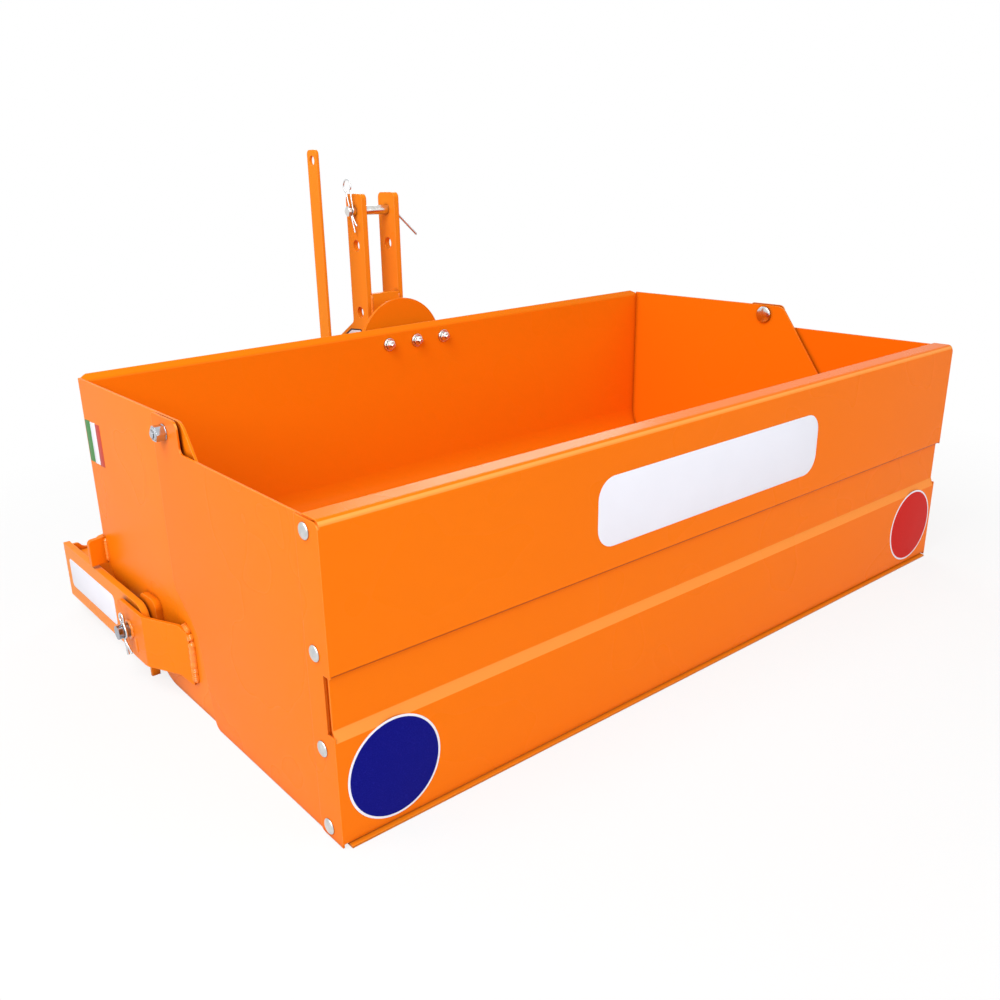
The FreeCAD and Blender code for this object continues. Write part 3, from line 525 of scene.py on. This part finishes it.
# ------------------------------------------------------------------ clips and handle
def hairpin(name, centre, along, across, out, pin, stand, ring, legs, splay, body, wire=2 * MM):
    """A spring clip: a straight leg through the pin, a wavy leg round it, and a ring."""
    along, across, out = Vector(along).normalized(), Vector(across).normalized(), Vector(out).normalized()
    centre = Vector(centre)

    def at(a, b, c=0.0):
        return centre + along * a + across * b + out * c

    bm = bmesh.new()
    shift = 0.6 * ring
    straight = [at(-legs, 0.0), at(-0.4 * legs, 0.0), at(stand - 0.95 * ring, 0.0)]
    circle = arc(at(stand, shift), -along, -across, ring, 37, 325, 20)
    bulge = pin + 3.5 * MM
    wavy = [at(0.45 * pin, bulge * 0.92), at(0.0, bulge), at(-0.6 * pin, bulge * 0.8),
            at(-1.3 * pin, bulge * 0.5, wire), at(-0.8 * legs, splay, wire)]
    tube(bm, smooth_line(straight + circle + wavy), wire)
    return piece(name, bm, body, zinc_steel, 60)


def smooth_line(points, per_span=3):
    """Catmull-Rom points through the given ones."""
    points = [Vector(p) for p in points]
    line = []
    for i in range(len(points) - 1):
        p0, p1, p2 = points[max(i - 1, 0)], points[i], points[i + 1]
        p3 = points[min(i + 2, len(points) - 1)]
        for k in range(per_span):
            t = k / per_span
            line.append(0.5 * ((2 * p1) + (p2 - p0) * t + (2 * p0 - 5 * p1 + 4 * p2 - p3) * t * t
                               + (3 * p1 - p0 - 3 * p2 + p3) * t ** 3))
    line.append(points[-1])
    return line


def pin_fittings(side):
    """Spring clip through a tipping pin, between the cheek and the pin's end."""
    name = SIDE_NAMES[side]
    pin = middle("tip_pin_" + name)
    cheek_face, end = high("cheek_right").x, high("tip_pin_right").x
    radius = (high("tip_pin_right").z - low("tip_pin_right").z) / 2
    hairpin("tip_pin_clip_" + name, (side * (0.5 * cheek_face + 0.5 * end), pin.y, pin.z),
            (0, 0.19, 0.98), (0, -0.98, 0.19), (side, 0, 0), radius, 29 * MM, 10 * MM, 52 * MM, 36 * MM,
            "bucket", 2.8 * MM)


for side in (LEFT, RIGHT):
    pin_fittings(side)


def top_pin_fittings():
    """Spring clip at the left end of the top link pin, collar and bar handle at the right."""
    pin_low, pin_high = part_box("top_link_pin")
    centre = (pin_low + pin_high) / 2
    radius = (pin_high.z - pin_low.z) / 2
    hairpin("top_pin_clip", (pin_low.x + 9 * MM, centre.y, centre.z), (0, 0.30, 0.95), (0, -0.95, 0.30),
            (-1, 0, 0), radius, 62 * MM, 17 * MM, 56 * MM, 18 * MM, "hitch_frame")
    bm = bmesh.new()
    spin(bm, [(12.7 * MM, 0), (17 * MM, 0.4 * MM), (18 * MM, 1.4 * MM), (18 * MM, 5 * MM), (17 * MM, 6 * MM),
              (12.7 * MM, 6 * MM)], frame_along((MAST_OUT, centre.y, centre.z), (1, 0, 0)))
    for end, way in ((pin_low.x, -1), (pin_high.x, 1)):
        spin(bm, [(12.6 * MM, 0), (12.3 * MM, 0.5 * MM), (11 * MM, 1.6 * MM), (0.2 * MM, 1.7 * MM)],
             frame_along((end, centre.y, centre.z), (way, 0, 0)))
    piece("top_pin_collar", bm, "hitch_frame", bright_steel)
    bm = bmesh.new()
    start = Vector((pin_high.x - 5 * MM, centre.y, centre.z - 4 * MM))
    tip = start + Vector((73, 0, -68)) * MM
    line = [start, start + (tip - start) * 0.12, start + (tip - start) * 0.5, tip]
    tube(bm, smooth_line(line, 4), lambda t: (4.2 - 0.8 * t) * MM)
    piece("top_pin_handle", bm, "hitch_frame", zinc_steel, 60)


top_pin_fittings()


# ------------------------------------------------------------------ welds
def weld(bm, start, end, radius, seed=0.0):
    """A rippled bead along a straight seam."""
    start, end = Vector(start), Vector(end)
    length = (end - start).length
    steps = max(4, int(length / (2.2 * MM)))
    points = [start.lerp(end, i / steps) for i in range(steps + 1)]

    def size(share):
        ripple = math.sin(share * length / (4.6 * MM) * 2 * math.pi + seed)
        fade = min(1.0, 10 * share + 0.35, 10 * (1 - share) + 0.35)
        return radius * fade * (1 + 0.10 * ripple + 0.06 * math.sin(41 * share + seed))

    tube(bm, points, size, 8)


def bead(bm, points, radius, seed=0.0):
    """A rippled bead that follows a line of points."""
    points = [Vector(point) for point in points]
    for one, two in zip(points, points[1:]):
        weld(bm, one, two, radius, seed)


def lumpy(points, centre, depth):
    """Points of a ring moved in and out, as a hand-laid weld is."""
    moved = []
    for i, point in enumerate(points):
        outward = (Vector(point) - Vector(centre)).normalized()
        moved.append(Vector(point) + outward * depth * (1 + math.sin(i * 1.3) + 0.5 * math.sin(i * 2.7)))
    return moved


def bucket_welds():
    """Beads at the rest lugs, round the cheeks' rear ends and round the tipping pins."""
    bm = bmesh.new()
    for side in (LEFT, RIGHT):
        name = SIDE_NAMES[side]
        lug_low, lug_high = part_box("rest_lug_" + name)
        seam = side * SIDE_OUT
        weld(bm, (seam, lug_low.y, lug_low.z + 4 * MM), (seam, lug_low.y, lug_high.z - 4 * MM), 5 * MM, 1)
        cheek_low, cheek_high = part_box("cheek_" + name)
        rear, seam = cheek_low.y, side * (SIDE_OUT + 1.5 * MM)
        bead(bm, [(seam, rear + 1 * MM, cheek_low.z + 7 * MM), (seam, rear, cheek_high.z - 26 * MM),
                  (seam, rear + 7 * MM, cheek_high.z - 13 * MM), (seam, rear + 30 * MM, cheek_high.z - 3 * MM)],
             8.5 * MM, 2)
        pin = middle("tip_pin_" + name)
        pin_radius = (high("tip_pin_right").z - low("tip_pin_right").z) / 2
        face = side * high("cheek_right").x
        ring = arc((face, pin.y, pin.z), (0, 1, 0), (0, 0, 1), pin_radius + 0.5 * MM, 0, 350, 35)
        tube(bm, lumpy(ring, (face, pin.y, pin.z), 1.2 * MM), 4.2 * MM, 8, closed=True)
        weld(bm, (face, pin.y - 30 * MM, pin.z - 44 * MM), (face, pin.y - 28 * MM, pin.z - 12 * MM), 2.2 * MM, 3)
    return piece("bucket_welds", bm, "bucket", weld_paint, 50)


BEAM_TOP = 0.146             # where the uprights stand on the cross beam


def frame_welds():
    """Beads at the cross plate, the uprights, the hitch ears and the block between the uprights."""
    bm = bmesh.new()
    plate_low, plate_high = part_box("cross_plate")
    for side in (LEFT, RIGHT):
        name = SIDE_NAMES[side]
        weld(bm, (side * ARM_IN, plate_low.y, plate_low.z + 4 * MM),
             (side * ARM_IN, plate_low.y, plate_high.z - 14 * MM), 5 * MM, side)
        mast_low = low("mast_" + name)
        for x in (side * MAST_IN, side * MAST_OUT):
            weld(bm, (x, plate_high.y, plate_low.z + 30 * MM), (x, plate_high.y, plate_high.z), 5 * MM, x)
            weld(bm, (x, plate_low.y - 70 * MM, BEAM_TOP), (x, plate_low.y, BEAM_TOP), 5 * MM, 3 * x)
        for place in ("inner", "outer"):
            ear_low, ear_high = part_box("hitch_ear_" + place + "_" + name)
            for x in (ear_low.x, ear_high.x):
                weld(bm, (x, plate_high.y, ear_low.z + 3 * MM), (x, plate_high.y, plate_high.z - 3 * MM), 4 * MM, x)
        block_low, block_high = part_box("mast_block")
        weld(bm, (side * MAST_IN, mast_low.y, block_low.z + 3 * MM),
             (side * MAST_IN, mast_low.y, block_high.z - 3 * MM), 4 * MM, 4)
    return piece("frame_welds", bm, "hitch_frame", weld_paint, 50)


bucket_welds()
frame_welds()


# ------------------------------------------------------------------ plates and signs
def rounded_outline(width, height, radius, steps=8):
    """Corners of a rounded rectangle about the origin, anticlockwise."""
    points = []
    for cx, cy, start in ((1, 1, 0), (-1, 1, 90), (-1, -1, 180), (1, -1, 270)):
        for i in range(steps + 1):
            turn = math.radians(start + 90 * i / steps)
            points.append(Vector((cx * (width / 2 - radius) + radius * math.cos(turn),
                                  cy * (height / 2 - radius) + radius * math.sin(turn), 0)))
    return points


def sticker(name, outline, place, material, body, thickness=SKIN):
    """A flat film with a slightly rounded rim, on the plane of the place."""
    bm = bmesh.new()
    foot = [place @ p for p in outline]
    rim = [place @ (p + Vector((0, 0, thickness * 0.7))) for p in outline]
    top = [place @ (p * (1 - 0.6 * MM / max(p.length, 0.01)) + Vector((0, 0, thickness))) for p in outline]
    rings(bm, [foot, rim, top])
    return piece(name, bm, body, material, 60)


def circle_outline(radius, steps=72):
    """Points of a circle about the origin, anticlockwise."""
    return [Vector((radius * math.cos(2 * math.pi * i / steps), radius * math.sin(2 * math.pi * i / steps), 0))
            for i in range(steps)]


def wall_place(x, y, z, normal, right):
    """A place on a wall: its Z is the wall's normal and its X runs to the right."""
    normal, right = Vector(normal), Vector(right)
    up = normal.cross(right)
    turn = Matrix((right, up, normal)).transposed().to_4x4()
    return Matrix.Translation((x, y, z)) @ turn


def ringed_sign(name, x, z, radius, face_material):
    """A round sign: white film with a coloured field, and nothing on it."""
    place = wall_place(x, GATE_FACE, z, (0, -1, 0), (1, 0, 0))
    sticker(name + "_rim", circle_outline(radius), place, white_film, "tailgate")
    lifted = place @ Matrix.Translation((0, 0, SKIN))
    sticker(name + "_field", circle_outline(radius * 0.955), lifted, face_material, "tailgate", SKIN * 0.5)


ringed_sign("blue_sign", -0.793, 0.106, 0.090, blue_film)
ringed_sign("red_sign", 0.801, 0.107, 0.091, red_film)
sticker("gate_plate", rounded_outline(0.674, 0.133, 0.040),
        wall_place(-0.001, GATE_FACE, 0.4168, (0, -1, 0), (1, 0, 0)), white_film, "tailgate")


def blank_plates():
    """Blank white plate on the left arm, and the small rimmed one on the left upright."""
    arm_low, arm_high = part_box("arm_left")
    place = wall_place(-ARM_OUT, arm_high.y - 0.1755, (arm_low.z + arm_high.z) / 2, (-1, 0, 0), (0, -1, 0))
    sticker("arm_plate", rounded_outline(0.297, 0.073, 0.012), place, white_film, "hitch_frame")
    mast_low = low("mast_left")
    place = wall_place(-MAST_OUT, mast_low.y + 0.077, 0.550, (-1, 0, 0), (0, -1, 0))
    for name, film, rim in (("mast_plate_rim", dark_film, 0.0), ("mast_plate", white_film, 3.5 * MM)):
        outline = [(-46, -32), (37, -32), (40, -29), (40, 33), (37, 35), (-13, 32), (-46, 12)]
        shrink = [Vector((x * MM - math.copysign(rim, x), y * MM - math.copysign(rim, y), 0)) for x, y in outline]
        lifted = place @ Matrix.Translation((0, 0, SKIN if rim else 0))
        sticker(name, shrink, lifted, film, "hitch_frame", SKIN * (0.5 if rim else 1.0))


blank_plates()


STRIPES_TOP, STRIPES_BOTTOM = 0.5125, 0.4200
STRIPES_FRONT, STRIPES_REAR = 0.5255, 0.409


def tricolour():
    """Three upright stripes on the left side plate, near its front edge."""
    top, bottom, fall = STRIPES_TOP, STRIPES_BOTTOM, 3 * MM
    front = min(STRIPES_FRONT, FRONT_WALL - 3 * MM)
    edges = [front - share * (front - STRIPES_REAR) for share in (0.0, 0.35, 0.70, 1.0)]
    films = (green_film, white_film, crimson_film)
    for i, (film, name) in enumerate(zip(films, ("green", "white", "red"))):
        middle_y, width = (edges[i] + edges[i + 1]) / 2, edges[i] - edges[i + 1]
        place = wall_place(-SIDE_OUT, middle_y, (top + bottom) / 2, (-1, 0, 0), (0, -1, 0))
        half = (top - bottom) / 2
        corners = [(-width / 2, -half), (width / 2, -half + fall / 2),
                   (width / 2, half + fall / 2), (-width / 2, half)]
        sticker("stripe_" + name, [Vector((x, y, 0)) for x, y in corners], place, film, "bucket")


tricolour()


# ------------------------------------------------------------------ studio
CAMERA_PLACE = Vector((-1.5232, -1.6077, 1.0112))
CAMERA_AZIMUTH = -0.6512
CAMERA_ELEVATION = 0.3462
CAMERA_ROLL = -0.0355
CAMERA_LENS = 35.0
CAMERA_SHIFT = (0.0565, 0.0124)


def camera():
    """The camera, turned by its azimuth, elevation and roll."""
    azimuth, elevation = CAMERA_AZIMUTH, CAMERA_ELEVATION
    forward = Vector((-math.sin(azimuth) * math.cos(elevation), math.cos(azimuth) * math.cos(elevation),
                      -math.sin(elevation)))
    right = Vector((math.cos(azimuth), math.sin(azimuth), 0))
    up = right.cross(forward)
    cos_roll, sin_roll = math.cos(CAMERA_ROLL), math.sin(CAMERA_ROLL)
    turned_right = right * cos_roll + up * sin_roll
    turned_up = up * cos_roll - right * sin_roll
    data = bpy.data.cameras.new("camera")
    data.lens = CAMERA_LENS
    data.sensor_width = 36.0
    data.shift_x, data.shift_y = CAMERA_SHIFT
    data.clip_end = 200
    thing = bpy.data.objects.new("camera", data)
    turn = Matrix((turned_right, turned_up, -forward)).transposed().to_4x4()
    thing.matrix_world = Matrix.Translation(CAMERA_PLACE) @ turn
    bpy.context.scene.collection.objects.link(thing)
    bpy.context.scene.camera = thing


def lamp(name, place, aim, size, power):
    """A white area lamp turned to a point."""
    data = bpy.data.lights.new(name, "AREA")
    data.shape = "RECTANGLE"
    data.size, data.size_y = size
    data.energy = power
    thing = bpy.data.objects.new(name, data)
    direction = Vector(aim) - Vector(place)
    turn = direction.to_track_quat("-Z", "Y").to_matrix().to_4x4()
    thing.matrix_world = Matrix.Translation(place) @ turn
    bpy.context.scene.collection.objects.link(thing)


PLAIN_LIGHT = 0.39           # the world's strength on the object
FLOOR_REACH = 30.0           # from its middle to each edge
SHADOW_FADE = (1.1, 2.2)     # over these distances from the origin the floor turns clear
CLEAR_SHARE = (0.82, 1.0)    # how clear the floor is to the camera, near and far


def maximum(tree, one, two):
    node = tree.nodes.new("ShaderNodeMath")
    node.operation = "MAXIMUM"
    tree.links.new(one, node.inputs[0])
    tree.links.new(two, node.inputs[1])
    return node.outputs["Value"]


def seen_or_mirrored(tree, rays):
    """One for camera rays, rays through glass and reflections, and nought for all others."""
    seen = maximum(tree, rays.outputs["Is Camera Ray"], rays.outputs["Is Transmission Ray"])
    return maximum(tree, seen, rays.outputs["Is Glossy Ray"])


def world():
    """White to the camera and in reflections; a plain grey light on the object, from above the horizon alone."""
    scene_world = bpy.data.worlds.new("studio")
    bpy.context.scene.world = scene_world
    scene_world.use_nodes = True
    tree = scene_world.node_tree
    tree.nodes.clear()
    output = tree.nodes.new("ShaderNodeOutputWorld")
    mix = tree.nodes.new("ShaderNodeMixShader")
    plain, white = tree.nodes.new("ShaderNodeBackground"), tree.nodes.new("ShaderNodeBackground")
    plain.inputs["Color"].default_value = (1, 1, 1, 1)
    coordinates = tree.nodes.new("ShaderNodeTexCoord")
    direction = tree.nodes.new("ShaderNodeSeparateXYZ")
    tree.links.new(coordinates.outputs["Generated"], direction.inputs[0])
    above = tree.nodes.new("ShaderNodeMath")
    above.operation = "GREATER_THAN"
    above.inputs[1].default_value = 0.0
    tree.links.new(direction.outputs["Z"], above.inputs[0])
    strength = tree.nodes.new("ShaderNodeMath")
    strength.operation = "MULTIPLY"
    strength.inputs[1].default_value = PLAIN_LIGHT
    tree.links.new(above.outputs["Value"], strength.inputs[0])
    tree.links.new(strength.outputs["Value"], plain.inputs["Strength"])
    white.inputs["Color"].default_value = (1, 1, 1, 1)
    rays = tree.nodes.new("ShaderNodeLightPath")
    tree.links.new(seen_or_mirrored(tree, rays), mix.inputs[0])
    tree.links.new(plain.outputs[0], mix.inputs[1])
    tree.links.new(white.outputs[0], mix.inputs[2])
    tree.links.new(mix.outputs[0], output.inputs["Surface"])


def floor():
    """A pale floor that keeps the object's shadow.

    It hides nothing that hangs below it, and the lamps still reach what is there.
    """
    bm = bmesh.new()
    bm.faces.new([bm.verts.new((x * FLOOR_REACH, y * FLOOR_REACH, 0))
                  for x, y in ((-1, -1), (1, -1), (1, 1), (-1, 1))])
    mesh = bpy.data.meshes.new("floor")
    bm.to_mesh(mesh)
    bm.free()
    thing = bpy.data.objects.new("floor", mesh)
    thing.location.z = -0.5 * MM
    bpy.context.scene.collection.objects.link(thing)
    material = bpy.data.materials.new("floor")
    material.use_nodes = True
    tree = material.node_tree
    tree.nodes.clear()
    output = tree.nodes.new("ShaderNodeOutputMaterial")
    lit = tree.nodes.new("ShaderNodeBsdfDiffuse")
    lit.inputs["Color"].default_value = (0.86, 0.86, 0.86, 1)
    clear = tree.nodes.new("ShaderNodeBsdfTransparent")
    mix = tree.nodes.new("ShaderNodeMixShader")
    rays = tree.nodes.new("ShaderNodeLightPath")
    coordinates = tree.nodes.new("ShaderNodeTexCoord")
    distance = tree.nodes.new("ShaderNodeVectorMath")
    distance.operation = "LENGTH"
    tree.links.new(coordinates.outputs["Object"], distance.inputs[0])
    fade = tree.nodes.new("ShaderNodeMapRange")
    fade.inputs["From Min"].default_value, fade.inputs["From Max"].default_value = SHADOW_FADE
    fade.inputs["To Min"].default_value, fade.inputs["To Max"].default_value = CLEAR_SHARE
    tree.links.new(distance.outputs["Value"], fade.inputs["Value"])
    share = tree.nodes.new("ShaderNodeMath")
    share.operation = "MULTIPLY"
    tree.links.new(fade.outputs["Result"], share.inputs[1])
    tree.links.new(seen_or_mirrored(tree, rays), share.inputs[0])
    lets_through = maximum(tree, share.outputs["Value"], rays.outputs["Is Shadow Ray"])
    tree.links.new(lets_through, mix.inputs[0])
    tree.links.new(lit.outputs[0], mix.inputs[1])
    tree.links.new(clear.outputs[0], mix.inputs[2])
    tree.links.new(mix.outputs[0], output.inputs["Surface"])
    mesh.materials.append(material)


camera()
lamp("key", (-3.0, -1.6, 2.4), (-0.1, 0.1, 0.2), (2.0, 2.0), 64)
lamp("front", (1.0, -3.3, 1.5), (0.1, -0.3, 0.3), (2.2, 1.4), 28)
lamp("left_top", (-2.0, -0.2, 3.2), (0.2, 0.1, 0.2), (1.6, 1.6), 54)
lamp("back", (2.6, 3.2, 2.4), (0.1, 0.2, 0.3), (2.0, 2.0), 50)
world()
floor()
bpy.context.scene.view_settings.view_transform = "Standard"
